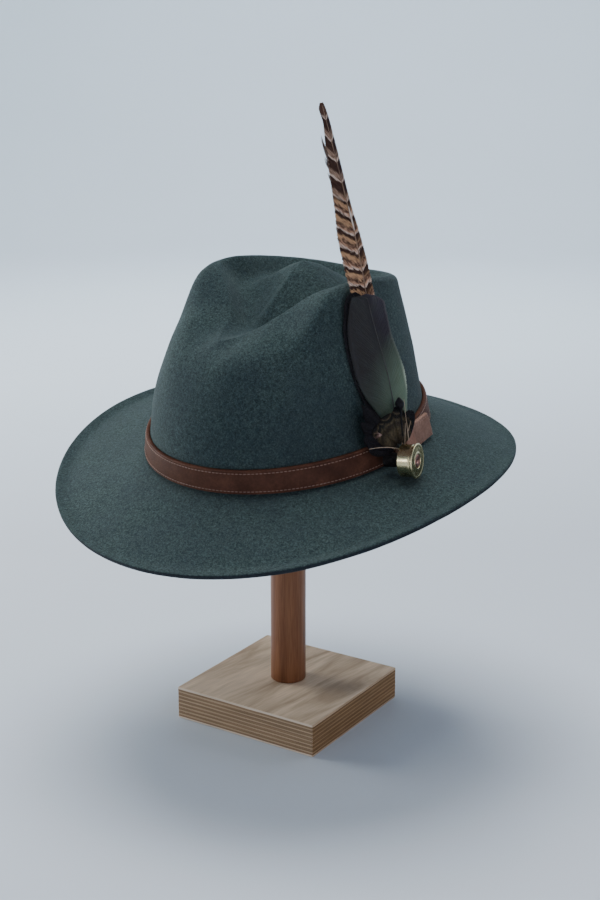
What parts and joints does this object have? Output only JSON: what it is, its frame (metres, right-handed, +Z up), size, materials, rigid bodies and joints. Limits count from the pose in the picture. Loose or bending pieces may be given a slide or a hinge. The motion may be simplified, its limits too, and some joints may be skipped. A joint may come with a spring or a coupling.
{
  "type": "felt fedora with feathers on display stand",
  "caption": "Green wool-felt fedora with a deep front pinch, leather strap, feather trim and brass cartridge-head pin, on a wooden post stand.",
  "frame": {"origin": "middle of the square base's underside, under the post", "axes": "+Z up along the post, +X toward the wearer's left where the feathers are, -Y toward the hat's front"},
  "size_m": [0.307, 0.3154, 0.431],
  "materials": {
    "felt": "heathered wool felt",
    "leather": "satin, stitched along both edges",
    "leather_keeper": "satin, worn lighter",
    "barred_feather": "tan feather with dark bars",
    "dark_feather": "blackish feather",
    "green_feather": "charcoal feather turning grey-green",
    "hackle": "brown-black feather",
    "brass": "polished",
    "copper": "dull copper",
    "root_binding": "black thread binding",
    "birch_ply": "bare birch plywood",
    "beech_dowel": "oiled dowel",
    "beech_plain": "plain turned wood"
  },
  "bodies": {
    "root": {"crown_and_brim": "felt", "hat_band": "leather", "band_end": "leather", "band_keeper": "leather_keeper", "tail_feather": "barred_feather", "under_feather": "dark_feather", "green_feather": "green_feather", "hackle_fan": "hackle", "cartridge_head": "brass", "primer": "copper", "pin_back": "root_binding", "stand_base": "birch_ply", "stand_post": "beech_dowel", "stand_head": "beech_plain"}
  },
  "joints": []
}
